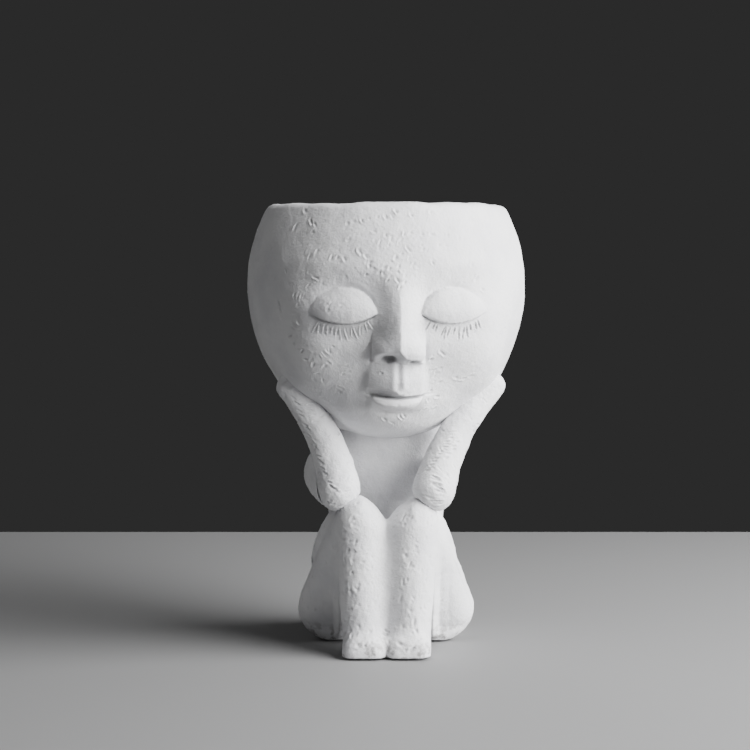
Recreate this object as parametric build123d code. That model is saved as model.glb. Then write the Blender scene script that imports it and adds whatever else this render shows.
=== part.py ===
"""Head planter: a small seated figure, chin in hands, whose egg-shaped head is an open flower pot.

Millimetres, +Z up. The figure faces -Y, and its own left side is +X. The origin is on the floor, in the
middle of the planter's box. Places are first worked out from the pot's upright axis, then moved there.
"""

from build123d import *
import os
from math import asin, cos, degrees, radians, sin, sqrt

# Pot
overall_height = 210.0
pot_radius = 66.5
pot_half_height = 73.0
rim_above_widest = 39.0
pot_wall = 6.0
pot_floor = 9.0
rim_round = 2.0
drain_bore = 12.0

# Face: drops are measured down from the pot's widest level, and proud is the height above the skin there
head_turn = 5.0
lid_spacing = 52.0
lid_drop = 9.0
lid_proud = 4.2
lid_width = 34.0
lid_depth = 16.6
lid_height = 24.0
lash_drop = 17.5
lash_sag = 4.5
nose_top_drop = -5.0
nose_bridge_drop = 11.0
nose_tip_drop = 29.0
nose_base_drop = 34.5
nose_bridge_width = 10.0
nose_bridge_proud = 3.5
nose_width = 16.0
nose_proud = 12.0
nose_root = 2.5
wing_spacing = 14.5
wing_drop = 30.5
wing_proud = 6.0
wing_width = 9.0
wing_depth = 15.0
nostril_spacing = 10.0
nostril_width = 3.6
mound_drop = 44.0
mound_proud = 3.4
mound_width = 30.0
mound_depth = 22.0
mound_height = 22.0
mouth_drop = 49.5
mouth_width = 27.0
lip_depth = 7.0
upper_lip_proud = 6.2
upper_lip_height = 4.4
upper_lip_slope = 8.0
lower_lip_proud = 10.3
lower_lip_width = 20.0
lower_lip_height = 7.0
chin_drop = 40.0
chin_proud = -0.5
chin_width = 76.0
chin_depth = 76.0
chin_height = 60.0

# Trunk
neck_width = 45.0
neck_depth = 42.0
shoulder_width = 66.0
chest_depth = 44.0
chest_setback = 4.0
waist_width = 56.0
waist_height = 48.0
waist_setback = 8.0
seat_width = 74.0
seat_depth = 52.0
seat_height = 15.0
seat_setback = 12.0
seat_inset = 5.0

# Legs: the knees carry the elbows and so the head, and their drop is measured down from the pot's bottom
knee_drop = 36.0
knee_spread = 12.0
knee_reach = 37.0
knee_width = 24.5
knee_dome = 12.0
ankle_width = 19.4
ankle_spread = 10.2
ankle_reach = 42.0
foot_width = 20.6
foot_length = 25.0
foot_height = 11.0
foot_toe = 13.5
foot_corner = 6.0
foot_round = 4.8
thigh_knee_width = 22.5
thigh_width = 30.0
hip_width = 34.0
hip_spread = 25.5
hip_setback = -5.0
hip_height = 15.5
hip_dome = 15.0

# Arms
elbow_above_knee = 14.0
elbow_spread = 21.8
elbow_width = 20.0
forearm_width = 16.0
forearm_bow = 4.5
hand_width = 12.6
hand_thickness = 10.5
hand_tip = 7.0
hand_drop = 47.5
hand_stand_off = 2.5
left_hand_angle = 69.0
right_hand_angle = 58.0
shoulder_drop = 12.0
shoulder_spread = 27.0
shoulder_setback = 5.0
upper_arm_width = 19.0
left_upper_arm_bow = 0.5
right_upper_arm_bow = 5.0

# Loose fittings
stopper_clearance = 0.2
stopper_taper = 0.6
stopper_flange = 18.0
stopper_flange_height = 3.0
stopper_grip = 7.0
stopper_grip_height = 7.0
stopper_round = 1.0
pad_diameter = 11.0
pad_thickness = 1.0

# Levels and places that follow from the sizes above
pot_centre = overall_height - rim_above_widest
pot_bottom = pot_centre - pot_half_height
drain_seat = pot_bottom + pot_floor
knee_height = pot_bottom - knee_drop
SIDES = {"left": 1, "right": -1}
OUTWARD = Vector(1, 0, 0)
BEYOND = 4 * overall_height
LIMB_STEPS = 8
DOME_ANGLES = (30, 55, 75)


def pot_radius_at(height):
    """Outer radius of the pot at a height above the floor."""
    return pot_radius * sqrt(1 - ((height - pot_centre) / pot_half_height) ** 2)


nose_front = (pot_radius_at(pot_centre - nose_tip_drop) + nose_proud) * cos(radians(head_turn))
pot_axis_y = (nose_front - pot_radius) / 2


def ellipsoid(width, depth, height):
    return scale(Sphere(0.5), by=(width, depth, height))


def egg(radius, half_height, top):
    """A turned egg about the pot's axis, centred on the pot's widest level and cut flat at the top."""
    outline = Plane.XZ * Pos(0, pot_centre) * Ellipse(radius, half_height)
    right_half = Plane.XZ * Pos(BEYOND / 2, top - BEYOND / 2) * Rectangle(BEYOND, BEYOND)
    return revolve(outline & right_half, Axis.Z)


def blend(values, part):
    """A size part of the way along a limb, on a smooth curve through its start, middle and end values."""
    start, middle, end = values
    at_start = (1 - part) * (1 - 2 * part)
    at_middle = 4 * part * (1 - part)
    at_end = part * (2 * part - 1)
    return start * at_start + middle * at_middle + end * at_end


def limb(points, widths, depths, start_dome=0.0, end_dome=0.0):
    """A limb lofted through ellipses along a smooth line. An end with no dome is flat."""
    path = Spline(*points)
    stations = []
    for step in range(LIMB_STEPS + 1):
        part = step / LIMB_STEPS
        stations.append((path @ part, path % part, blend(widths, part), blend(depths, part)))

    def dome(station, length):
        centre, along, width, depth = station
        rings = []
        for angle in DOME_ANGLES:
            narrowing = cos(radians(angle))
            rise = along * (length * sin(radians(angle)))
            rings.append((centre + rise, along, width * narrowing, depth * narrowing))
        return rings, Vertex(*(centre + along * length))

    before, after, first_tip, last_tip = [], [], [], []
    if start_dome:
        before, tip = dome(stations[0], -start_dome)
        first_tip = [tip]
    if end_dome:
        after, tip = dome(stations[-1], end_dome)
        last_tip = [tip]
    ellipses = []
    for centre, along, width, depth in before[::-1] + stations + after:
        plane = Plane(centre, x_dir=OUTWARD - along * OUTWARD.dot(along), z_dir=along)
        ellipses.append(plane * Ellipse(width / 2, depth / 2))
    return loft(first_tip + ellipses + last_tip)


def midway(start, end, bow=0.0):
    """The point half way along a limb, moved sideways by the limb's bow."""
    x, y, z = ((a + b) / 2 for a, b in zip(start, end))
    return (x + bow, y, z)


def on_own_side(shape, side):
    """The part of a shape on one side of the figure's middle, above the pads that it stands on."""
    return shape & Pos(side * BEYOND / 2, 0, pad_thickness + BEYOND / 2) * Box(BEYOND, BEYOND, BEYOND)


def seated(shape, *neighbours):
    """A shape cut back to the faces of its neighbours, without the scraps that the cuts leave."""
    for neighbour in neighbours:
        shape = shape - neighbour
    return max(shape.solids(), key=lambda solid: solid.volume)


# Face, built up from soft lumps on the pot's skin
def on_face(across, drop, sunk):
    """Location at a distance across from the middle of the face, sunk under the skin and facing out."""
    height = pot_centre - drop
    radius = pot_radius_at(height)
    return Rot(0, 0, head_turn + degrees(asin(across / radius))) * Pos(0, sunk - radius, height)


def lump(across, drop, proud, width, depth, height, slope=0.0):
    """A soft swelling whose front stands proud of the skin."""
    return on_face(across, drop, depth / 2 - proud) * Rot(0, slope, 0) * ellipsoid(width, depth, height)


def eyelid(side):
    """A closed lid: a domed lump, cut off along the curved lash line."""
    across = side * lid_spacing / 2
    half_chord = lid_width / 2
    lash_radius = (half_chord**2 + lash_sag**2) / (2 * lash_sag)
    above_lashes = on_face(across, lash_drop - lash_radius, 0) * Rot(90, 0, 0) * Cylinder(lash_radius, BEYOND)
    return lump(across, lid_drop, lid_proud, lid_width, lid_depth, lid_height) & above_lashes


def nose():
    """A wedge that widens from the brow to the tip, with two wings and two nostrils under it."""
    stations = [
        (nose_top_drop, nose_bridge_width, 0),
        (nose_bridge_drop, nose_bridge_width, nose_bridge_proud),
        (nose_tip_drop, nose_width, nose_proud),
        (nose_base_drop, nose_width, nose_proud - nose_root),
    ]
    sections = []
    for drop, width, proud in stations:
        sections.append(on_face(0, drop, nose_root) * Ellipse(width / 2, proud + nose_root))
    shape = loft(sections)
    for side in SIDES.values():
        shape += lump(side * wing_spacing / 2, wing_drop, wing_proud, wing_width, wing_depth, wing_width)
    for side in SIDES.values():
        opening = ellipsoid(nostril_width, 2 * nostril_width, nostril_width)
        shape -= on_face(side * nostril_spacing / 2, nose_base_drop, -nose_proud / 2) * opening
    return shape


def mouth():
    """The soft mound round the mouth, the two bows of the upper lip and the lower lip."""
    shape = lump(0, mound_drop, mound_proud, mound_width, mound_depth, mound_height)
    upper_drop = mouth_drop - upper_lip_height / 2
    lower_drop = mouth_drop + lower_lip_height / 2
    bow_width = 0.6 * mouth_width
    for side in SIDES.values():
        across = side * (mouth_width - bow_width) / 2
        slope = side * upper_lip_slope
        shape += lump(across, upper_drop, upper_lip_proud, bow_width, lip_depth, upper_lip_height, slope)
    shape += lump(0, lower_drop, lower_lip_proud, lower_lip_width, lip_depth, lower_lip_height)
    return shape


def skull():
    """The head before it is hollowed: an egg, with a jaw that fills out the front of its underside."""
    jaw = lump(0, chin_drop, chin_proud, chin_width, chin_depth, chin_height)
    return egg(pot_radius, pot_half_height, overall_height) + jaw


def head_pot(solid_head):
    """The pot: the head hollowed out, with a rounded rim, a face in front and a drain hole in its floor."""
    shape = solid_head + nose()
    shape += mouth()
    for side in SIDES.values():
        shape += eyelid(side)
    mouth_radius = pot_radius_at(overall_height) - pot_wall
    shape -= egg(pot_radius - pot_wall, pot_half_height - pot_floor, BEYOND)
    shape -= Pos(0, 0, pot_centre + BEYOND / 2) * Cylinder(mouth_radius, BEYOND)
    seat_clearance = 2 * stopper_clearance
    shape -= Pos(0, 0, drain_seat + stopper_flange_height / 2) * Cylinder(
        stopper_flange / 2 + seat_clearance, stopper_flange_height
    )
    shape -= Pos(0, 0, drain_seat) * Cylinder(drain_bore / 2, BEYOND)
    return fillet(shape.edges().group_by(Axis.Z)[-1], rim_round)


# Trunk
def torso(solid_head):
    """Seat, waist, shoulders and neck in one loft, dished on top for the pot and drilled for the drain."""
    stations = [
        (pad_thickness, seat_width - 2 * seat_inset, seat_depth - 2 * seat_inset, seat_setback),
        (seat_height, seat_width, seat_depth, seat_setback),
        (waist_height, waist_width, chest_depth, waist_setback),
        (pot_bottom - shoulder_drop, shoulder_width, chest_depth, chest_setback),
        (pot_bottom + pot_floor, neck_width, neck_depth, 0),
    ]
    sections = []
    for height, width, depth, setback in stations:
        sections.append(Pos(0, setback, height) * Ellipse(width / 2, depth / 2))
    drain = Cylinder(drain_bore / 2, BEYOND)
    return seated(loft(sections), solid_head, drain)


# Legs
def lower_leg(side):
    """Knee, shin and foot: a tapering column, round over the knee, on a blunt block of a foot."""
    knee = (side * knee_spread, -knee_reach, knee_height)
    ankle = (side * ankle_spread, -ankle_reach, 0)
    middle = midway(knee, ankle)
    girths = (knee_width, (knee_width + ankle_width) / 2, ankle_width)
    shin = limb((knee, middle, ankle), girths, girths, start_dome=knee_dome)
    heel = -ankle_reach - foot_toe + foot_length / 2
    outline = Pos(side * ankle_spread, heel) * RectangleRounded(foot_width, foot_length, foot_corner)
    foot = extrude(outline, foot_height)
    foot = fillet(foot.edges().group_by(Axis.Z)[-1], foot_round)
    return seated(on_own_side(shin + foot, side))


def thigh(side, *neighbours):
    """Hip to knee, swelling towards a hip that rests on the floor beside the seat."""
    hip = (side * hip_spread, hip_setback, hip_height)
    knee = (side * knee_spread, -knee_reach, knee_height)
    middle = midway(hip, knee)
    girths = (hip_width, thigh_width, thigh_knee_width)
    shape = limb((hip, middle, knee), girths, girths, start_dome=hip_dome)
    return seated(on_own_side(shape, side), *neighbours)


# Arms
def elbow_point(side):
    return (side * elbow_spread, -knee_reach, knee_height + elbow_above_knee)


def forearm(side, hand_angle, *neighbours):
    """Elbow to fingertips in one tapering, bowed form, its flat hand laid along the cheek."""
    elbow = elbow_point(side)
    hand_height = pot_centre - hand_drop
    hand_radius = pot_radius_at(hand_height) + hand_stand_off
    turn = radians(hand_angle)
    hand = (side * hand_radius * sin(turn), -hand_radius * cos(turn), hand_height)
    middle = midway(elbow, hand, -side * forearm_bow)
    shape = limb(
        (elbow, middle, hand),
        (elbow_width, forearm_width, hand_width),
        (elbow_width, forearm_width, hand_thickness),
        start_dome=elbow_width / 2,
        end_dome=hand_tip,
    )
    return seated(shape, *neighbours)


def upper_arm(side, bow, *neighbours):
    """Shoulder to elbow, bowed outward, let into the trunk at one end and the elbow at the other."""
    shoulder = (side * shoulder_spread, shoulder_setback, pot_bottom - shoulder_drop)
    elbow = elbow_point(side)
    middle = midway(shoulder, elbow, side * bow)
    girths = (upper_arm_width,) * 3
    shape = limb((shoulder, middle, elbow), girths, girths, start_dome=upper_arm_width / 2)
    return seated(shape, *neighbours)


# Loose fittings
def drain_stopper():
    """A turned rubber stopper: tapered shank in the drain hole, flange on the pot's floor, and a grip."""
    shank = drain_bore / 2 - stopper_clearance
    top = drain_seat + stopper_flange_height
    shape = Pos(0, 0, drain_seat - pot_floor / 2) * Cone(shank - stopper_taper, shank, pot_floor)
    flange = Pos(0, 0, top - stopper_flange_height / 2) * Cylinder(stopper_flange / 2, stopper_flange_height)
    shape += fillet(flange.edges().group_by(Axis.Z)[-1], stopper_round)
    grip = Pos(0, 0, top + stopper_grip_height / 2) * Cylinder(stopper_grip / 2, stopper_grip_height)
    shape += fillet(grip.edges().group_by(Axis.Z)[-1], stopper_round)
    return shape


def base_pads():
    """Four self-adhesive pads: one under each foot and two under the back of the seat."""
    pads = []
    for side in SIDES.values():
        sole = (side * ankle_spread, -ankle_reach - foot_toe + foot_length / 2)
        seat = (side * seat_width / 4, seat_setback + seat_depth / 4)
        for x, y in (sole, seat):
            pads.append(Pos(x, y, pad_thickness / 2) * Cylinder(pad_diameter / 2, pad_thickness))
    return Compound(children=pads)


def assembly():
    solid_head = skull()
    pieces = {"head_pot": head_pot(solid_head), "torso": torso(solid_head)}
    trunk = pieces["torso"]
    hand_angles = {"left": left_hand_angle, "right": right_hand_angle}
    arm_bows = {"left": left_upper_arm_bow, "right": right_upper_arm_bow}
    for name, side in SIDES.items():
        shin = lower_leg(side)
        lap = thigh(side, trunk, shin)
        rest = forearm(side, hand_angles[name], solid_head, shin, lap, trunk)
        pieces[f"{name}_lower_leg"] = shin
        pieces[f"{name}_thigh"] = lap
        pieces[f"{name}_forearm"] = rest
        pieces[f"{name}_upper_arm"] = upper_arm(side, arm_bows[name], trunk, rest, lap, shin, solid_head)
    pieces["drain_stopper"] = drain_stopper()
    pieces["base_pads"] = base_pads()
    return pieces


if __name__ == "__main__":
    os.makedirs("parts", exist_ok=True)
    for name, shape in assembly().items():
        export_step(Pos(0, pot_axis_y, 0) * shape, f"parts/{name}.step")
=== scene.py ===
from math import cos, pi, radians, sin

import bpy
import numpy as np
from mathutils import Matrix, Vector, kdtree


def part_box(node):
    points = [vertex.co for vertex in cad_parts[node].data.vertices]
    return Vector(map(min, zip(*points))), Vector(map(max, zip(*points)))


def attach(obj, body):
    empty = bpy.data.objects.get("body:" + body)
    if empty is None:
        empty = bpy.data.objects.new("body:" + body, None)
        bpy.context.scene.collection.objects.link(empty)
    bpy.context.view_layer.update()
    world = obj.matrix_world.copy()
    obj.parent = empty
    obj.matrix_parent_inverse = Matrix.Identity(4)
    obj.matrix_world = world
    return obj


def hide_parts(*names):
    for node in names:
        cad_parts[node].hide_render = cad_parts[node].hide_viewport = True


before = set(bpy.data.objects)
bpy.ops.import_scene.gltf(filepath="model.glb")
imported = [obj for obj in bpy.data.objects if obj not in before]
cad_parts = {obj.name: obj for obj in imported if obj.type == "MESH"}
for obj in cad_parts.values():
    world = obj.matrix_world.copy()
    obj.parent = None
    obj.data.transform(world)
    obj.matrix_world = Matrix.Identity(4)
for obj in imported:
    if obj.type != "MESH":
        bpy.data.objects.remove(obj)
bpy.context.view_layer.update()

# Seated body
# Trunk, upper arms and legs are one solid casting in white resin. Its maker joined the limbs to the trunk in
# clay before the mould was taken, so the joins are wiped into soft grooves and the skin is left lumpy.
body_nodes = ("torso", "left_upper_arm", "right_upper_arm", "left_thigh", "right_thigh",
              "left_lower_leg", "right_lower_leg")
resin_white = (0.79, 0.79, 0.80, 1.0)
resin_shade = (0.70, 0.70, 0.72, 1.0)
# Grey painted in as shade: in pressed grooves, nostrils, the mouth's line and under the lips and lids.
painted_shade_grey = (0.40, 0.40, 0.41, 1.0)
scuff_grey = (0.34, 0.33, 0.33, 1.0)


def places_of(mesh):
    """Where a mesh's points are, one row each."""
    places = np.empty(3 * len(mesh.vertices))
    mesh.vertices.foreach_get("co", places)
    return places.reshape(-1, 3)


def normals_of(mesh):
    """Which way a mesh's skin faces at each point."""
    normals = np.empty(3 * len(mesh.vertices))
    mesh.vertex_normals.foreach_get("vector", normals)
    return normals.reshape(-1, 3)


def clay_copy(name, nodes, grain, rounds, *fillings):
    """One even, fine skin over copies of some solids, with rolls of clay pressed in where they meet."""
    bpy.ops.object.select_all(action="DESELECT")
    rolls = []
    for place, size, lean in fillings:
        bpy.ops.mesh.primitive_uv_sphere_add(segments=48, ring_count=32, location=place, rotation=lean,
                                             scale=size)
        bpy.ops.object.transform_apply(location=True, rotation=True, scale=True)
        rolls.append(bpy.context.object)
    for roll in rolls:
        roll.select_set(True)
    for node in nodes:
        copy = bpy.data.objects.new(name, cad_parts[node].data.copy())
        bpy.context.scene.collection.objects.link(copy)
        copy.select_set(True)
        bpy.context.view_layer.objects.active = copy
    bpy.ops.object.join()
    piece = bpy.context.object
    bpy.ops.object.mode_set(mode="EDIT")
    bpy.ops.mesh.select_all(action="SELECT")
    bpy.ops.mesh.remove_doubles(threshold=1e-6)
    bpy.ops.object.mode_set(mode="OBJECT")
    skin = piece.modifiers.new("Skin", "REMESH")
    skin.mode = "VOXEL"
    skin.voxel_size = grain
    bpy.ops.object.modifier_apply(modifier="Skin")
    wipe = piece.modifiers.new("Wipe", "SMOOTH")
    wipe.factor = 0.5
    wipe.iterations = rounds
    bpy.ops.object.modifier_apply(modifier="Wipe")
    piece.name = piece.data.name = name
    return piece


def wiped(piece, weight, rounds):
    """Smooths a join further, as a wet finger does, where a weight between 0 and 1 says."""
    group = piece.vertex_groups.new(name="wiped")
    for index, amount in enumerate(weight(places_of(piece.data))):
        if amount > 0.01:
            group.add((index,), float(amount), "REPLACE")
    wipe = piece.modifiers.new("Join", "SMOOTH")
    wipe.vertex_group = group.name
    wipe.factor = 0.5
    wipe.iterations = rounds
    bpy.context.view_layer.objects.active = piece
    bpy.ops.object.modifier_apply(modifier="Join")
    piece.vertex_groups.clear()


def lumpy(piece, size, height):
    """Uneven, hand-pressed swells over the whole of a piece."""
    clouds = bpy.data.textures.new(piece.name + "_swells", "CLOUDS")
    clouds.noise_scale = size
    clouds.noise_depth = 1
    swells = piece.modifiers.new("Swells", "DISPLACE")
    swells.texture = clouds
    swells.texture_coords = "LOCAL"
    swells.mid_level = 0.5
    swells.strength = height
    bpy.context.view_layer.objects.active = piece
    bpy.ops.object.modifier_apply(modifier="Swells")


def press_marks(piece, marks):
    """Presses tool marks into a piece. A mark is a short groove, with a burr raised along one side of it."""
    mesh = piece.data
    places = places_of(mesh)
    normals = normals_of(mesh)
    tree = kdtree.KDTree(len(places))
    for index, place in enumerate(places):
        tree.insert(place, index)
    tree.balance()
    lift = np.zeros(len(places))
    for place, along, length, width, depth, burr in marks:
        start, index, _ = tree.find(place)
        normal = normals[index]
        along = np.array(along) - normal * np.dot(along, normal)
        along /= np.linalg.norm(along) + 1e-12
        across = np.cross(normal, along)
        near = np.array([i for _, i, _ in tree.find_range(start, length / 2 + 2.2 * width)])
        offset = places[near] - np.array(start)
        run = np.clip(offset @ along, -length / 2, length / 2)
        over = offset @ along - run
        aside = offset @ across
        below = offset @ normal
        reach = np.sqrt(over**2 + aside**2 + 0.25 * below**2) / width
        fade = 1 - 0.6 * np.abs(2 * run / max(length, 1e-9)) ** 3
        groove = np.clip(1 - reach**2, 0, 1) ** 1.5
        ridge = np.exp(-(((reach - 1.3) / 0.38) ** 2)) * np.clip(0.3 + aside / width, 0, 1)
        lift[near] += (burr * ridge - depth * groove) * fade
    mesh.vertices.foreach_set("co", (places + normals * lift[:, None]).ravel())
    mesh.update()
    # Painted shade: grey is painted into each groove, more where the groove is deeper.
    painted_shade = mesh.attributes.get("painted_shade") or mesh.attributes.new("painted_shade", "FLOAT", "POINT")
    shade_paint = np.empty(len(places))
    painted_shade.data.foreach_get("value", shade_paint)
    painted_shade.data.foreach_set("value", np.clip(shade_paint + np.maximum(-lift, 0) / 0.0006, 0, 2))


def scattered(piece, dice, count, turn, size, where):
    """Marks at random on the part of a piece that a test picks, lying at an angle to a given line."""
    places = places_of(piece.data)
    normals = normals_of(piece.data)
    picked = np.flatnonzero(where(places, normals))
    marks = []
    for index in dice.choice(picked, count):
        line = turn(places[index], normals[index])
        side = np.cross(normals[index], line)
        slant = radians(dice.normal(0, 18))
        along = np.array(line) * cos(slant) + side * sin(slant)
        length, width = size[0] * dice.uniform(0.5, 1.3), size[1] * dice.uniform(0.7, 1.3)
        depth = size[2] * dice.uniform(0.4, 1.2)
        marks.append((places[index], along, length, width, depth, depth * dice.uniform(0.2, 0.7)))
    return marks


def cast_resin(name, pits, scuffs):
    """Matte white resin: faint cool clouding, grey painted shade in grooves, nostrils, the mouth's line and
    under lips and lids, grey scuff blots at the foot, and a chalky grain.
    """
    material = bpy.data.materials.new(name)
    material.use_nodes = True
    nodes, links = material.node_tree.nodes, material.node_tree.links
    shader = nodes["Principled BSDF"]
    shader.inputs["Specular IOR Level"].default_value = 0.32
    place = nodes.new("ShaderNodeTexCoord")

    def noise(scale, detail):
        node = nodes.new("ShaderNodeTexNoise")
        node.inputs["Scale"].default_value = scale
        node.inputs["Detail"].default_value = detail
        node.inputs["Roughness"].default_value = 0.6
        links.new(place.outputs["Object"], node.inputs["Vector"])
        return node

    clouding = noise(38, 4)
    tone = nodes.new("ShaderNodeValToRGB")
    tone.color_ramp.elements[0].position = 0.36
    tone.color_ramp.elements[0].color = resin_shade
    tone.color_ramp.elements[1].position = 0.58
    tone.color_ramp.elements[1].color = resin_white
    links.new(clouding.outputs["Fac"], tone.inputs["Fac"])
    # Painted shade: grey is mixed into the colour wherever the point attribute marks grooves and the face's
    # recesses.
    painted_shade = nodes.new("ShaderNodeAttribute")
    painted_shade.attribute_name = "painted_shade"
    shade_paint = nodes.new("ShaderNodeMixRGB")
    shade_paint.inputs["Color2"].default_value = painted_shade_grey
    links.new(tone.outputs["Color"], shade_paint.inputs["Color1"])
    fade = nodes.new("ShaderNodeMath")
    fade.operation = "MULTIPLY"
    fade.inputs[1].default_value = 0.42
    links.new(painted_shade.outputs["Fac"], fade.inputs[0])
    links.new(fade.outputs["Value"], shade_paint.inputs["Fac"])
    height = nodes.new("ShaderNodeSeparateXYZ")
    links.new(place.outputs["Object"], height.inputs["Vector"])
    foot = nodes.new("ShaderNodeMapRange")
    foot.inputs["From Min"].default_value = 0.012
    foot.inputs["From Max"].default_value = 0.003
    links.new(height.outputs["Z"], foot.inputs["Value"])
    blots = nodes.new("ShaderNodeMapRange")
    blots.inputs["From Min"].default_value = 0.50
    blots.inputs["From Max"].default_value = 0.62
    blots.inputs["To Max"].default_value = scuffs
    links.new(noise(240, 3).outputs["Fac"], blots.inputs["Value"])
    scuff = nodes.new("ShaderNodeMath")
    scuff.operation = "MULTIPLY"
    links.new(foot.outputs["Result"], scuff.inputs[0])
    links.new(blots.outputs["Result"], scuff.inputs[1])
    grimy = nodes.new("ShaderNodeMixRGB")
    grimy.inputs["Color2"].default_value = scuff_grey
    links.new(shade_paint.outputs["Color"], grimy.inputs["Color1"])
    links.new(scuff.outputs["Value"], grimy.inputs["Fac"])
    links.new(grimy.outputs["Color"], shader.inputs["Base Color"])
    chalk = noise(800, 5)
    rough = nodes.new("ShaderNodeMapRange")
    rough.inputs["To Min"].default_value = 0.62
    rough.inputs["To Max"].default_value = 0.86
    links.new(chalk.outputs["Fac"], rough.inputs["Value"])
    links.new(rough.outputs["Result"], shader.inputs["Roughness"])
    grain = nodes.new("ShaderNodeBump")
    grain.inputs["Strength"].default_value = 0.5
    grain.inputs["Distance"].default_value = 0.0006
    links.new(chalk.outputs["Fac"], grain.inputs["Height"])
    holes = nodes.new("ShaderNodeTexVoronoi")
    holes.inputs["Scale"].default_value = 230
    links.new(place.outputs["Object"], holes.inputs["Vector"])
    small = nodes.new("ShaderNodeMapRange")
    small.inputs["From Max"].default_value = 0.16
    links.new(holes.outputs["Distance"], small.inputs["Value"])
    pinholes = nodes.new("ShaderNodeBump")
    pinholes.inputs["Strength"].default_value = pits
    pinholes.inputs["Distance"].default_value = 0.0003
    links.new(small.outputs["Result"], pinholes.inputs["Height"])
    links.new(grain.outputs["Normal"], pinholes.inputs["Normal"])
    links.new(pinholes.outputs["Normal"], shader.inputs["Normal"])
    return material


def dressed(piece, body, slot, material, *nodes):
    """Finishes a piece: smooth shading, its material, and its place in the frame."""
    piece.data.materials.clear()
    piece.data.materials.append(material)
    bpy.ops.object.select_all(action="DESELECT")
    piece.select_set(True)
    bpy.context.view_layer.objects.active = piece
    bpy.ops.object.shade_smooth()
    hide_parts(*nodes)
    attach(piece, body)


def thinned(piece, triangles):
    """Leaves out the points that the flatter places of a piece don't need."""
    thin = piece.modifiers.new("Thin", "DECIMATE")
    thin.ratio = min(1.0, triangles / (2 * len(piece.data.polygons)))
    bpy.context.view_layer.objects.active = piece
    bpy.ops.object.modifier_apply(modifier="Thin")


def shaped_knees(piece, between, left_knee, crease):
    """Slopes the knees to a V, the left one a little lower, and sets the thighs back beside the shins."""
    places = places_of(piece.data)
    x, y, z = places.T
    out = np.abs(x)
    knee = np.clip((z - 0.052) / 0.014, 0, 1) * (y < -0.022) * (z < 0.076)
    z -= knee * (between * np.clip(1 - out / 0.012, 0, 1)
                 + left_knee * np.clip(1 - np.abs(x - 0.009) / 0.009, 0, 1))
    beside = np.clip((out - 0.0225) / 0.003, 0, 1) * np.clip((0.046 - out) / 0.016, 0, 1)
    beside *= np.clip((0.056 - z) / 0.02, 0, 1) * np.clip(z / 0.008, 0, 1)
    y += crease * beside * np.clip(-2.5 * normals_of(piece.data)[:, 1], 0, 1) * (y < 0.02)
    piece.data.vertices.foreach_set("co", places.ravel())
    piece.data.update()


def groove_between_shins(at):
    x, y, z = at.T
    return np.exp(-((x / 0.007) ** 4)) * (z > pad_top) * (y < -0.022)


def ankle_joins(at):
    _, y, z = at.T
    return np.exp(-(((z - 0.012) / 0.006) ** 4)) * (z > pad_top) * (y < -0.03)


def knee_joins(at):
    x, y, z = at.T
    return np.exp(-(((np.abs(x) - 0.025) / 0.005) ** 4)) * (z > 0.036) * (z < 0.066) * (y < -0.010)


pad_top = 0.004
body_resin = cast_resin("body_resin", 0.3, 1.0)
between_shins = ((0, -0.036, 0.031), (0.007, 0.0065, 0.030), (0, 0, 0))
left_knee_side = ((0.0250, -0.018, 0.053), (0.0055, 0.006, 0.020), (radians(20), radians(-22), 0))
right_knee_side = ((-0.0270, -0.018, 0.053), (0.0055, 0.006, 0.020), (radians(20), radians(22), 0))
body = clay_copy("seated_body", body_nodes, 0.0006, 10, between_shins, left_knee_side, right_knee_side)
shaped_knees(body, between=0.0036, left_knee=0.0022, crease=0.006)
wiped(body, groove_between_shins, 220)
wiped(body, ankle_joins, 160)
wiped(body, knee_joins, 60)
lumpy(body, 0.011, 0.0008)
lumpy(body, 0.0025, 0.0003)
dice = np.random.default_rng(23)
upward = lambda place, normal: (0.3, 0.0, 1.0)
any_way = lambda place, normal: dice.normal(size=3)
on_limbs = lambda at, normals: (np.abs(at[:, 0]) > 0.024) & (at[:, 2] > pad_top)
on_back = lambda at, normals: (normals[:, 1] > 0.1) & (at[:, 2] > pad_top)
on_shin = lambda at, normals: (at[:, 2] > pad_top) & (at[:, 1] < -0.03) & (np.abs(at[:, 0]) > 0.003)


def on_ridge(at, normals):
    x, y, z = at.T
    on_line = (np.abs(x + 0.0165) < 0.004) | (np.abs(x - 0.0105) < 0.004)
    return (normals[:, 1] < -0.3) & (y < -0.038) & (z > 0.012) & (z < 0.066) & on_line


def on_toe(at, normals):
    _, y, z = at.T
    return (z < 0.013) & (z > 0.002) & (normals[:, 1] < -0.3) & (y < -0.04)


body_marks = scattered(body, dice, 110, upward, (0.0015, 0.0009, 0.0004), on_limbs)
body_marks += scattered(body, dice, 70, upward, (0.0026, 0.0009, 0.0004), on_back)
body_marks += scattered(body, dice, 38, any_way, (0.0012, 0.0009, 0.0006), on_ridge)
body_marks += scattered(body, dice, 7, upward, (0.0028, 0.0008, 0.0006), on_ridge)
body_marks += scattered(body, dice, 190, any_way, (0.0010, 0.0008, 0.0003), on_shin)
body_marks += scattered(body, dice, 26, any_way, (0.0016, 0.0009, 0.0006), on_toe)
press_marks(body, body_marks)
thinned(body, 196000)
dressed(body, "figure", "cast_resin", body_resin, *body_nodes)

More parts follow.
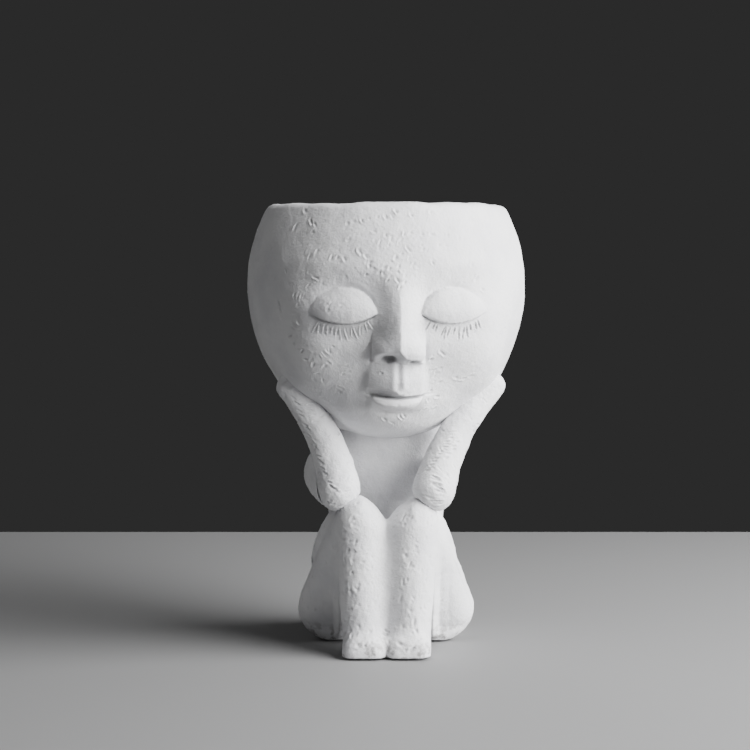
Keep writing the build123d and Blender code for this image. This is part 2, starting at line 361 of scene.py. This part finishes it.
# Head pot
# The head is a hollow egg of the same resin, open at the top as a flower pot with a wavy rounded rim. The
# sleeping face was built up in clay: domed lids with cut lashes, a short nose, and small closed lips.
stopper_low, stopper_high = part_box("drain_stopper")
pot_axis = Vector(((stopper_low[0] + stopper_high[0]) / 2, (stopper_low[1] + stopper_high[1]) / 2, 0))
rim_top = 1000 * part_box("head_pot")[1][2]
egg_radius, egg_half = 66.5, 73.0
egg_level = rim_top - 39.0
lining_radius, lining_half = 60.5, 64.0
bore_radius, seat_radius, floor_level = 6.0, 9.4, egg_level - 64.0
face_turn = radians(5.0)
face_rise = 0.9
columns = 740


def egg_width(level):
    return egg_radius * np.sqrt(np.clip(1 - ((level - egg_level) / egg_half) ** 2, 0, 1))


def pot_outline():
    """The pot's section as a closed line of radius, level and how much of the face it carries."""
    edge = rim_top - 2.7
    lowest, highest = np.arcsin(bore_radius / egg_radius), pi - np.arcsin(egg_width(edge) / egg_radius)
    tilt = np.linspace(lowest, highest, 8000)
    radius, level = egg_radius * np.sin(tilt), egg_level - egg_half * np.cos(tilt)
    per_mm = np.interp(level, (99, 101, 110, 113, 126, 130, 135, 144, 148, 161, 173, 182, 210),
                       (0.4, 1.1, 1.4, 2.7, 2.7, 1.8, 2.6, 2.4, 2.6, 2.4, 2.2, 1.6, 1.5))
    steps = np.hypot(np.diff(radius), np.diff(level)) * (per_mm[1:] + per_mm[:-1]) / 2
    count = np.concatenate(([0], np.cumsum(steps)))
    even = np.linspace(0, count[-1], int(count[-1]))
    line = [(r, z, 1.0) for r, z in zip(np.interp(even, count, radius), np.interp(even, count, level))]
    middle = egg_width(edge) - 4.45
    mouth = egg_width(rim_top) - 6
    for angle in np.radians((36, 45, 54, 63, 72, 81, 90)):
        line.append((middle + 5 * cos(angle), rim_top - 5 + 5 * sin(angle), 0.5))
    line.append(((middle + mouth + 2) / 2, rim_top, 0.0))
    for angle in np.radians((90, 60, 30, 0)):
        line.append((mouth + 2 - 2 * cos(angle), rim_top - 2 + 2 * sin(angle), 0.0))
    meet = np.arcsin(mouth / lining_radius)
    for tilt in np.linspace(pi - meet, np.arcsin(seat_radius / lining_radius), 46):
        line.append((lining_radius * sin(tilt), egg_level - lining_half * cos(tilt), 0.0))
    for radius, level in ((seat_radius, floor_level), (7.5, floor_level), (bore_radius, floor_level)):
        line.append((radius, level, 0.0))
    line.append((bore_radius, floor_level - 4, 0.0))
    return np.array(line)


def hill(x, z, x0, z0, wide, tall):
    return np.exp(-(((x - x0) / wide) ** 2) - ((z - z0) / tall) ** 2)


def ramp(value):
    value = np.clip(value, 0, 1)
    return value * value * (3 - 2 * value)


def lash_line(out):
    """Along a lid: the place from corner to corner, the lid's arch, and the levels of corners and lashes."""
    along = (out - 24.3) / 14.3
    arch = np.clip(1 - along**2, 0, 1)
    corner = 158.9 + 0.5 * along
    return along, arch, corner, corner - 4.8 * arch


def nostrils(x, z):
    return hill(x, z, -4.4, 138.3, 3.2, 2.1), hill(x, z, 5.6, 137.0, 2.9, 0.8)


def mouth_line(x):
    """The level where the lips meet, and the level above it from which the upper lip turns in."""
    line = 120.4 + 1.0 * (x / 14.4) ** 2
    return line, line + 0.6 + 3.0 * ramp((3.0 - x) / 8)


def eyes_relief(x, z):
    """Brows, the hollows round the eyes, and the closed lids that end in a sharp lash line."""
    relief = np.zeros_like(x)
    for side in (1, -1):
        out = side * x
        relief += 0.9 * hill(out, z, 28, 181, 17, 5) + 2.0 * hill(out, z, 34, 139, 13, 13)
        relief -= 1.9 * hill(out, z, 24, 169, 17, 7) + 0.8 * hill(out, z, 10.5, 166, 6, 9)
        relief -= 0.7 * hill(out, z, 26, 150, 15, 4)
        along, arch, corner, low = lash_line(out)
        high = corner + 11.4 * arch**0.58
        up = (z - low) / np.maximum(high - low, 1e-6)
        inside = (arch > 0) & (up > 0) & (up < 1)
        rise = np.clip(up, 0, 1)
        ledge = 0.66 - 0.06 * side
        soft_end = 0.5 + 0.6 * ramp(along)
        dome = arch**soft_end * (ledge + 0.95 * rise - (0.95 + ledge) * rise**2.4)
        inner = ramp((0.85 - along) / 0.9)
        edge = ramp((high - z) / 1.0) * ramp(arch / 0.25) * inner
        relief += np.where(inside, 4.1 * np.maximum(dome, 0) + 0.5 * edge, 0)
        above = np.where(arch > 0, z - high, 99)
        relief -= np.where(above > 0, 0.9 * inner * ramp(arch / 0.3) * np.exp(-((above / 1.7) ** 2)), 0)
        below = low - z
        relief -= np.where((arch > 0) & (below > 0), 1.1 * arch**0.3 * np.exp(-((below / 0.9) ** 2)), 0)
    return relief


def mask_relief(x, z):
    """The face's front is flatter than the egg behind it, and turns away at the temples and cheekbones."""
    height = ramp((z - 108) / 20) * ramp((188 - z) / 30)
    return 3.2 * height * np.exp(-(((np.abs(x) - 40) / 11.5) ** 2))


def nose_relief(x, z):
    """A short nose that widens from a soft bridge to a rounded tip, with two wings and two nostrils."""
    levels = (136, 141.6, 145.5, 150, 156, 163, 171, 182)
    heights = (11.2, 11.6, 11.0, 9.5, 7.4, 5.2, 3.0, 0)
    reach = sum(np.interp(z + step, levels, heights) for step in (0, 0.6, 1.2)) / 3
    wide = np.interp(z, (135, 141, 147, 153, 160, 168, 176), (11.8, 12.2, 12.2, 12.0, 12.0, 13.0, 15.5))
    part = np.clip(np.abs(x) / wide, 0, 1)
    tip = ramp((152 - z) / 9)
    section = (1 - tip) * (0.42 * (0.5 + 0.5 * np.cos(pi * part)) + 0.58 * (1 - part))
    section += tip * (0.55 * np.cos(pi / 2 * part) + 0.45 * (1 - part))
    ridge = reach * section
    flare = 6.8 * (1 - ramp((z - 139.5) / 13))
    drop = np.clip((141.0 - z) / 5.0, 0, 2)
    wings = flare * np.sqrt(np.clip(1 - ((np.abs(x) - 7.2) / 4.9) ** 2 - drop**2, 0, 1))
    whole = (ridge**2.4 + wings**2.4) ** (1 / 2.4)
    under = (2.2 + 3.0 * ramp((x + 1) / 6)) * (z - 136.0 + 0.1 * np.clip(x, -8, 4))
    right_nostril, left_nostril = nostrils(x, z)
    under -= 6.5 * right_nostril + 6.0 * left_nostril
    relief = np.maximum((whole + under - np.sqrt((whole - under) ** 2 + 1.4**2)) / 2, 0)
    for side in (1, -1):
        relief -= 1.3 * hill(side * x, z, 12.6, 141.0, 1.0, 3.8)
    return relief


def mouth_relief(x, z):
    """The muzzle under the nose with its groove, thin upper lip, full lower lip, and the chin."""
    line, turned = mouth_line(x)
    keel = np.maximum(7.0 * (1 - 0.82 * (np.abs(x) / 15) ** 1.15), 0)
    sharp = 2.6 + 2.6 * ramp((z - 124) / 12)
    edge = np.where(x < 0, ramp(0.5 + (14.2 + x) / sharp), ramp((15.8 - x) / 6.0))
    upper = ramp((z - line + 0.1) / 0.5) * ramp((139.5 - z) / 13) ** 0.8
    relief = keel * edge * upper - 0.3 * hill(x, z, -18, 125, 3.2, 9)
    groove = ramp((z - 122.4) / 3) * ramp((137.5 - z) / 3)
    relief += groove * (0.3 * np.exp(-(((np.abs(x) - 2.3) / 1.3) ** 2)) - 0.75 * np.exp(-((x / 1.2) ** 2)))
    cut = np.clip((turned - z) / (turned - line), 0, 1) ** 0.65
    relief -= edge * upper * np.minimum(3.6 + 1.8 * ramp((2.5 - x) / 8), keel + 1.2) * cut
    inside = np.clip(1 - (x / 13.3) ** 2, 0, 1)
    relief -= 0.8 * ramp(inside * 3) * np.exp(-(((z - line + 0.2) / 0.5) ** 2))
    full = np.clip(1 - (x / 11.2) ** 2, 0, 1) ** 0.6
    lower = np.clip((line - 0.2 - z) / np.maximum(7.5 * full, 0.05), 0, 1)
    front = 0.50 + 0.50 * np.clip(lower / 0.5, 0, 1) ** 0.8
    under = np.clip(1 - np.clip((lower - 0.62) / 0.38, 0, 1) ** 2.2, 0, 1) ** 0.6
    relief += 6.0 * full * np.clip(lower / 0.12, 0, 1) ** 0.7 * front * under
    below = ramp((line - z) / 0.6) * ramp((z - 109) / 10)
    corner = np.where(x < 0, ramp((14.5 + x) / 4), ramp((19.0 - x) / 8))
    relief += 1.5 * corner * below
    relief -= 2.3 * hill(x, z, -1, 113.0, 8.0, 1.8)
    return relief + 1.2 * hill(x, z, 0, 106.5, 12, 5)


def face_painted_shade(x, z):
    """Painted shade in the nostrils, in the mouth's line, under the upper lip and under the lash lines,
    where shade falls.
    """
    line, turned = mouth_line(x)
    right_nostril, left_nostril = nostrils(x, z)
    shade_paint = 1.6 * right_nostril + 1.4 * left_nostril
    shade_paint += 1.8 * ramp((13.4 - np.abs(x)) / 2) * np.exp(-(((z - line + 0.1) / 0.5) ** 2))
    # Painted shade under the upper lip, mostly on its half at negative x, which faces away from the key
    # light.
    lip = ramp((3.0 - x) / 8) * ramp((x + 13.5) / 2)
    shade_paint += 0.9 * lip * (z > line) * ramp((turned - z) / 0.5)
    # Painted shade below each lash line, heavier under the lid at negative x, away from the key light.
    for side in (1, -1):
        _, arch, _, low = lash_line(side * x)
        below = low - z
        shade_paint += (1.4 - 0.2 * side) * ramp(arch / 0.25) * np.exp(-(((below - 0.3) / 0.45) ** 2))
    return shade_paint


def sculpted_head():
    """A sheet rolled round the pot's section and closed, its front pushed out into jaw, nose and lips."""
    line = pot_outline()
    rows = len(line)
    line = np.vstack((line, line[:1]))
    bpy.ops.object.select_all(action="DESELECT")
    bpy.ops.mesh.primitive_grid_add(x_subdivisions=columns, y_subdivisions=rows)
    piece = bpy.context.object
    around = np.linspace(-pi, pi, 4000)
    closeness = np.cumsum(0.42 + 0.58 * np.exp(-((np.abs(around) / 1.15) ** 6)))
    spread = np.linspace(closeness[0], closeness[-1], columns + 1)
    turn = np.tile(np.interp(spread, closeness, around), rows + 1)
    radius, level, face = (np.repeat(line[:, i], columns + 1) for i in range(3))
    x, y, z = radius * np.sin(turn), -radius * np.cos(turn), level
    heart = 132.0
    ray = np.stack((x, y, z - heart), axis=1)
    reach = np.linalg.norm(ray, axis=1)
    ray /= reach[:, None]
    jaw_size = np.array((38.0, 38.0, 31.0))
    jaw_from = np.array((0.0, 17.2, heart - 131.0)) / jaw_size
    slope = ray / jaw_size
    a, b, c = (slope**2).sum(1), slope @ jaw_from, (jaw_from**2).sum() - 1
    jaw = (-b + np.sqrt(np.maximum(b * b - a * c, 0))) / a
    swollen = (reach + jaw + np.sqrt((reach - jaw) ** 2 + 3.0**2)) / 2 - 0.08
    reach = np.where(face > 0.9, np.where(y < 0, swollen, reach), reach)
    x, y, z = ray[:, 0] * reach, ray[:, 1] * reach, ray[:, 2] * reach + heart
    front = ramp(-y / 14) * (face > 0.9) * ramp((rim_top - 3 - z) / 6)
    up = z - face_rise
    relief = front * (mask_relief(x, up) + eyes_relief(x, up) + nose_relief(x, up) + mouth_relief(x, up))
    # Painted shade for the nostrils, mouth line, upper lip and lash lines, kept as a point attribute.
    shade_paint = front * face_painted_shade(x, up)
    flat = np.hypot(x, y)
    x, y = x + relief * x / flat, y + relief * y / flat
    lip = ramp((z - rim_top + 22) / 22) * (level > 150)
    wave = 0.25 * np.sin(3 * turn + 0.6) + 0.2 * np.sin(7 * turn + 2.1) + 0.14 * np.sin(17 * turn)
    swing = 1 + lip * (0.35 * np.sin(4 * turn + 1.0) + 0.25 * np.sin(9 * turn)) / 58
    z = z + lip * (wave - 0.5)
    x, y = x * swing, y * swing
    turned = (x * cos(face_turn) - y * sin(face_turn), x * sin(face_turn) + y * cos(face_turn), z)
    piece.data.vertices.foreach_set("co", (np.stack(turned, axis=1) / 1000 + np.array(pot_axis)).ravel())
    piece.data.update()
    piece.data.attributes.new("painted_shade", "FLOAT", "POINT").data.foreach_set("value", shade_paint)
    bpy.ops.object.mode_set(mode="EDIT")
    bpy.ops.mesh.select_all(action="SELECT")
    bpy.ops.mesh.remove_doubles(threshold=1e-6)
    bpy.ops.mesh.normals_make_consistent(inside=False)
    bpy.ops.object.mode_set(mode="OBJECT")
    piece.name = piece.data.name = "head_with_face"
    return piece


def on_skin(head, x, z):
    """A place on the head's skin, given across and up the face in mm, as seen from straight ahead."""
    ahead = np.array((sin(face_turn), -cos(face_turn), 0.0))
    across = np.array((cos(face_turn), sin(face_turn), 0.0))
    start = np.array(pot_axis) + (x * across + 120 * ahead) / 1000 + np.array((0, 0, (z + face_rise) / 1000))
    return head.ray_cast(Vector(start), Vector(-ahead))[1]


def slanted(x, angle):
    """A line across the face at an angle to the level, in degrees."""
    turn = face_turn + x / egg_radius
    level = np.array((cos(turn), sin(turn), 0.0))
    return level * cos(radians(angle)) + np.array((0, 0, 1.0)) * sin(radians(angle))


def face_marks(head):
    """The cut lashes, then the dents and hatching that the modelling tool left on brow, cheeks and chin."""
    dice = np.random.default_rng(5)
    marks = []
    for side in (1, -1):
        for lash in range(13):
            part = -0.80 + 1.62 * lash / 12 + dice.normal(0, 0.03)
            x = side * (25.3 + 15.0 * part)
            long = 4.6 * dice.uniform(0.55, 1.2)
            deep = 0.0005 + 0.00015 * side
            z = 159.2 - 5.0 * (1 - part**2) - 1.9 - long / 2 - 0.4 * (1 - part**2)
            fan = side * (part * 30 - 90) + dice.normal(0, 9)
            marks.append((on_skin(head, x, z), slanted(x, fan), long / 1000, 0.0004, deep, 0.0006))
    # Deep nostril pits; pressing them also paints grey shade into them.
    marks.append((on_skin(head, -4.2, 138.4), slanted(0, 12), 0.0038, 0.0023, 0.0020, 0))
    marks.append((on_skin(head, 5.6, 137.1), slanted(0, -12), 0.0046, 0.0010, 0.0018, 0))
    nicks = (
        (-41, 205, 130, 2.2), (-45.5, 197.5, 70, 2.6), (-38.5, 200, 130, 3.2), (-37, 198.5, 130, 2.6),
        (-38, 195, 0, 0.9), (-22.8, 199.5, 0, 1.0), (-20, 200.3, 0, 0.7), (-16.3, 200, 130, 1.2),
        (-13, 201.3, 0, 0.7), (-9.5, 202, 0, 0.7), (-5.5, 201.7, 130, 1.5), (-2.8, 202, 135, 0.9),
        (-1, 204.5, 130, 1.8), (6, 202.5, 130, 1.0), (15, 204, 20, 1.2), (-11, 195.5, 170, 1.6),
        (-6, 193.5, 170, 1.0), (-8.7, 190.3, 60, 1.7), (1, 191.8, 40, 1.6), (2.2, 194.5, 60, 1.2),
        (10.5, 194, 0, 1.0), (15, 194, 0, 1.8), (4, 187.6, 130, 2.8), (-17.4, 186.5, 130, 2.6),
        (-30, 183.7, 60, 1.6), (-27.5, 184, 50, 1.0), (-39.5, 184.6, 50, 1.6), (-36.6, 186, 60, 1.8),
        (-15, 184.5, 140, 1.6), (-13, 181.8, 0, 1.2), (-24.5, 182.8, 130, 1.8), (-11.6, 178.7, 0, 1.0),
        (-9, 177, 30, 1.5), (6.3, 180.7, 40, 2.0), (8, 179.4, 170, 1.8), (15, 181.3, 130, 1.4),
        (-50, 177.5, 120, 2.2), (-53, 162.5, 120, 3.4), (-52.5, 160, 130, 2.4), (-37, 174.5, 160, 2.6),
        (-40.5, 171, 40, 2.0), (-46, 153, 150, 3.0), (-47, 151.5, 160, 2.6), (-44.5, 154.5, 130, 2.0),
        (36, 174, 40, 1.8), (39, 169, 150, 1.8), (0, 170.6, 60, 1.2), (-1, 173.5, 130, 2.0),
        (-7.6, 131.3, 0, 0.7), (20.7, 140.3, 130, 2.0), (19.3, 140.8, 120, 1.4), (15, 137.8, 60, 1.0),
        (16.8, 132.8, 30, 1.8), (18.2, 131.3, 20, 1.6), (19.8, 126.8, 20, 1.8), (17.2, 129.8, 40, 1.4),
        (16, 123.6, 60, 1.2), (19, 120, 170, 1.8), (14.5, 118.5, 120, 1.4), (27.5, 128.9, 170, 1.7),
        (31.5, 128.2, 5, 1.8), (35, 129.4, 10, 2.6), (29, 126.8, 10, 1.6), (-5, 109.6, 125, 1.8),
        (-1.5, 108, 140, 2.4), (2.7, 110.4, 130, 2.4), (3.9, 111.3, 130, 1.2), (12.8, 114, 30, 2.0),
        (17.4, 114.2, 25, 2.4), (-48, 148, 20, 2.2), (-46.5, 145, 100, 1.8), (-43, 141.5, 40, 2.2),
        (-41.5, 137.5, 165, 1.6), (-38, 135, 60, 1.8), (-36.2, 130.6, 10, 2.0), (-33.5, 128, 75, 1.4),
    )
    for x, z, angle, long in nicks:
        wide, deep = 0.0007 * dice.uniform(0.8, 1.25), 0.0005 * dice.uniform(0.7, 1.2)
        burr = deep * dice.uniform(0.6, 1.2)
        marks.append((on_skin(head, x, z), slanted(x, angle), long / 1000, wide, deep, burr))
    zones = (
        (-4, 178, 11, 6, 16, 50, 50, 0.0013, 0.0007, 0.0004),
        (-8, 189, 22, 10, 16, 20, 60, 0.0012, 0.0007, 0.0004),
        (20, 188, 16, 8, 8, 20, 60, 0.0014, 0.0008, 0.0004),
        (-36, 134, 10, 9, 6, 30, 70, 0.0012, 0.0007, 0.0004),
        (17, 131, 3.5, 11, 10, 20, 40, 0.0012, 0.0007, 0.0004),
        (-30, 162.5, 5, 1.5, 8, 5, 30, 0.0014, 0.0006, 0.00029),
        (0, 165, 60, 40, 150, 0, 90, 0.0008, 0.0008, 0.00016),
    )
    for x0, z0, wide, tall, count, angle, swing, length, width, depth in zones:
        for _ in range(count):
            x, z = dice.normal(x0, wide * 0.65), dice.normal(z0, tall * 0.65)
            on_eye = ((abs(x) - 25.3) / 17.5) ** 2 + ((z - 159.5) / 13) ** 2 < 1
            if abs(x) > 57 or z > rim_top - 4 or z < 103 or (on_eye and depth > 0.0003):
                continue
            size = dice.uniform(0.6, 1.3)
            deep = depth * dice.uniform(0.4, 1.2)
            tilt = angle + dice.normal(0, swing * 0.6)
            burr = deep * dice.uniform(0.4, 1.0)
            marks.append((on_skin(head, x, z), slanted(x, tilt), length * size, width * size, deep, burr))
    hatches = (
        (-23, 131.5, 15, 6, 1.4, 0.0036), (-25.5, 124, -20, 3, 1.5, 0.0028),
        (-33, 140.5, 120, 4, 1.4, 0.0024), (-45, 166, 80, 4, 1.3, 0.0026),
    )
    for x0, z0, angle, count, gap, length in hatches:
        for cut in range(count):
            shift = (cut - count / 2 + dice.normal(0, 0.25)) * gap
            x, z = x0 - shift * sin(radians(angle)), z0 + shift * cos(radians(angle))
            tilt = angle + 3.0 * (cut - count / 2) + dice.normal(0, 7)
            deep = 0.0003 * dice.uniform(0.6, 1.3)
            long = length * dice.uniform(0.6, 1.2)
            marks.append((on_skin(head, x, z), slanted(x, tilt), long, 0.0006, deep, deep))
    return marks


head_resin = cast_resin("head_resin", 0.2, 0.0)
head = sculpted_head()
lumpy(head, 0.011, 0.0005)
lumpy(head, 0.0026, 0.00022)
dice = np.random.default_rng(31)


def outside(at, normals):
    from_axis = (at[:, 0] - pot_axis[0]) * normals[:, 0] + (at[:, 1] - pot_axis[1]) * normals[:, 1]
    return (normals[:, 1] > -0.2) & (at[:, 2] > 0.108) & (from_axis > 0.01)


head_marks = face_marks(head) + scattered(head, dice, 150, upward, (0.0022, 0.0009, 0.0005), outside)
press_marks(head, head_marks)
thinned(head, 196000)
dressed(head, "figure", "cast_resin", head_resin, "head_pot")

# Forearms and hands
# Each forearm runs from an elbow on the knee to a plain mitten of a hand laid along the cheek. The clay was
# scored all round with a tool, so short curved cuts lie across the arm from wrist to elbow.
scores = {
    "left_forearm": ((22.5, 83.5, 24.5, 77, 6, -20, 5.0, 0.65), (24, 73, 24, 70, 3, -5, 4.6, 0.6),
                     (30, 101, 19, 86, 11, 5, 2.2, 0.45), (43, 106, 51, 116, 9, 20, 4.6, 0.5),
                     (33, 99, 28, 92, 5, 15, 2.4, 0.45)),
    "right_forearm": ((-43, 119, -28, 85, 13, -22, 3.0, 0.42), (-26, 81, -23, 77, 4, -20, 2.6, 0.5),
                      (-36, 116, -33, 109, 4, 5, 2.4, 0.42)),
}


def scored(arm, dice, rows):
    """Rows of cuts on an arm: a row's two ends, its count, and its cuts' angle, length and depth in mm."""
    cuts = []
    for x0, z0, x1, z1, count, angle, length, depth in rows:
        for cut in range(count):
            part = (cut + dice.normal(0, 0.15)) / max(count - 1, 1)
            tilt = radians(angle + dice.normal(0, 7))
            x, z = x0 + (x1 - x0) * part + dice.normal(0, 0.4), z0 + (z1 - z0) * part
            found, place, _, _ = arm.ray_cast(Vector((x / 1000, -0.2, z / 1000)), Vector((0, 1, 0)))
            if found:
                deep = depth / 1000 * dice.uniform(0.6, 1.2)
                long = length / 1000 * dice.uniform(0.7, 1.2)
                cuts.append((place, (cos(tilt), 0, sin(tilt)), long, 0.0006, deep, 0.8 * deep))
    return cuts


anywhere = lambda at, normals: at[:, 2] > 0
elbow = lambda at: np.clip((0.080 - at[:, 2]) / 0.007, 0, 1)
for side, name in ((1, "left_forearm"), (-1, "right_forearm")):
    arm = clay_copy(name + "_cast", (name,), 0.00045, 12)
    wiped(arm, elbow, 160)
    lumpy(arm, 0.008, 0.0008)
    lumpy(arm, 0.0024, 0.0003)
    lean = np.array((side * 0.42, 0.25, 1.0))
    across = lambda place, normal: np.cross(normal, lean) / (np.linalg.norm(np.cross(normal, lean)) + 1e-9)
    dice = np.random.default_rng(41 + side)
    arm_marks = scored(arm, dice, scores[name])
    arm_marks += scattered(arm, dice, 90, across, (0.0030, 0.0006, 0.0003), anywhere)
    arm_marks += scattered(arm, dice, 30, across, (0.0014, 0.0009, 0.0005), anywhere)
    press_marks(arm, arm_marks)
    dressed(arm, "figure", "cast_resin", body_resin, name)

# Drain stopper
# A small turned plug of black rubber that closes the hole in the pot's floor. It is pushed in by hand and
# lifts out by its grip, so its edges are slightly worn.


def rubber(name, dark, light, wear):
    """Soft matte rubber with dusty clouding and a fine moulded grain."""
    material = bpy.data.materials.new(name)
    material.use_nodes = True
    nodes, links = material.node_tree.nodes, material.node_tree.links
    shader = nodes["Principled BSDF"]
    shader.inputs["Specular IOR Level"].default_value = 0.4
    place = nodes.new("ShaderNodeTexCoord")
    bloom = nodes.new("ShaderNodeTexNoise")
    bloom.inputs["Scale"].default_value = 260
    bloom.inputs["Detail"].default_value = 5
    links.new(place.outputs["Object"], bloom.inputs["Vector"])
    tone = nodes.new("ShaderNodeValToRGB")
    tone.color_ramp.elements[0].position = 0.4
    tone.color_ramp.elements[0].color = dark
    tone.color_ramp.elements[1].position = 0.7
    tone.color_ramp.elements[1].color = light
    links.new(bloom.outputs["Fac"], tone.inputs["Fac"])
    links.new(tone.outputs["Color"], shader.inputs["Base Color"])
    rough = nodes.new("ShaderNodeMapRange")
    rough.inputs["To Min"].default_value = wear
    rough.inputs["To Max"].default_value = wear + 0.25
    links.new(bloom.outputs["Fac"], rough.inputs["Value"])
    links.new(rough.outputs["Result"], shader.inputs["Roughness"])
    grain = nodes.new("ShaderNodeBump")
    grain.inputs["Strength"].default_value = 0.2
    grain.inputs["Distance"].default_value = 0.0002
    links.new(bloom.outputs["Fac"], grain.inputs["Height"])
    links.new(grain.outputs["Normal"], shader.inputs["Normal"])
    return material


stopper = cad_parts["drain_stopper"]
stopper.data.materials.clear()
stopper_rubber = rubber("stopper_rubber", (0.018, 0.018, 0.019, 1), (0.05, 0.05, 0.052, 1), 0.55)
stopper.data.materials.append(stopper_rubber)

# Base pads
# Four thin self-adhesive rubber discs under the feet and the seat keep the resin off the table.
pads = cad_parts["base_pads"]
pads.data.materials.clear()
pad_rubber = rubber("pad_rubber", (0.05, 0.05, 0.052, 1), (0.09, 0.09, 0.092, 1), 0.6)
pads.data.materials.append(pad_rubber)

# Floor, light and camera
# A plain pale table top under soft studio light: a large key from the figure's left front, a weak fill, and
# a lens that looks slightly down from just below the rim, as the photograph was taken.
bpy.ops.object.select_all(action="DESELECT")
bpy.ops.mesh.primitive_plane_add(size=0.7, location=(0, 0, 0))
table = bpy.context.object
table.name = "table_top"
table_paint = bpy.data.materials.new("table_paint")
table_paint.use_nodes = True
table_shader = table_paint.node_tree.nodes["Principled BSDF"]
table_shader.inputs["Base Color"].default_value = (0.22, 0.22, 0.222, 1)
table_shader.inputs["Roughness"].default_value = 0.7
table.data.materials.append(table_paint)


def soft_light(name, place, aim, size, power):
    light = bpy.data.lights.new(name, "AREA")
    light.shape = "DISK"
    light.size = size
    light.energy = power
    lamp = bpy.data.objects.new(name, light)
    bpy.context.scene.collection.objects.link(lamp)
    lamp.location = place
    lamp.visible_camera = False
    lamp.rotation_euler = (Vector(aim) - Vector(place)).to_track_quat("-Z", "Y").to_euler()


soft_light("key", (0.72, -0.33, 0.46), (0, 0, 0.13), 0.95, 40)
soft_light("fill", (-0.85, -0.25, 0.95), (0, 0, 0.15), 0.8, 2.0)
world = bpy.data.worlds.new("studio")
world.use_nodes = True
world.node_tree.nodes["Background"].inputs["Color"].default_value = (0.03, 0.03, 0.03, 1)
world.node_tree.nodes["Background"].inputs["Strength"].default_value = 1.0
bpy.context.scene.world = world
lens = bpy.data.cameras.new("camera")
lens.sensor_width = 36
lens.lens = 91.7
camera = bpy.data.objects.new("camera", lens)
bpy.context.scene.collection.objects.link(camera)
camera_aside, camera_distance, camera_height, camera_dip = -0.0053, 0.92, 0.188, 3.743
camera.location = (camera_aside, pot_axis[1] - camera_distance, camera_height)
camera.rotation_euler = (radians(90 - camera_dip), 0, 0)
bpy.context.scene.camera = camera
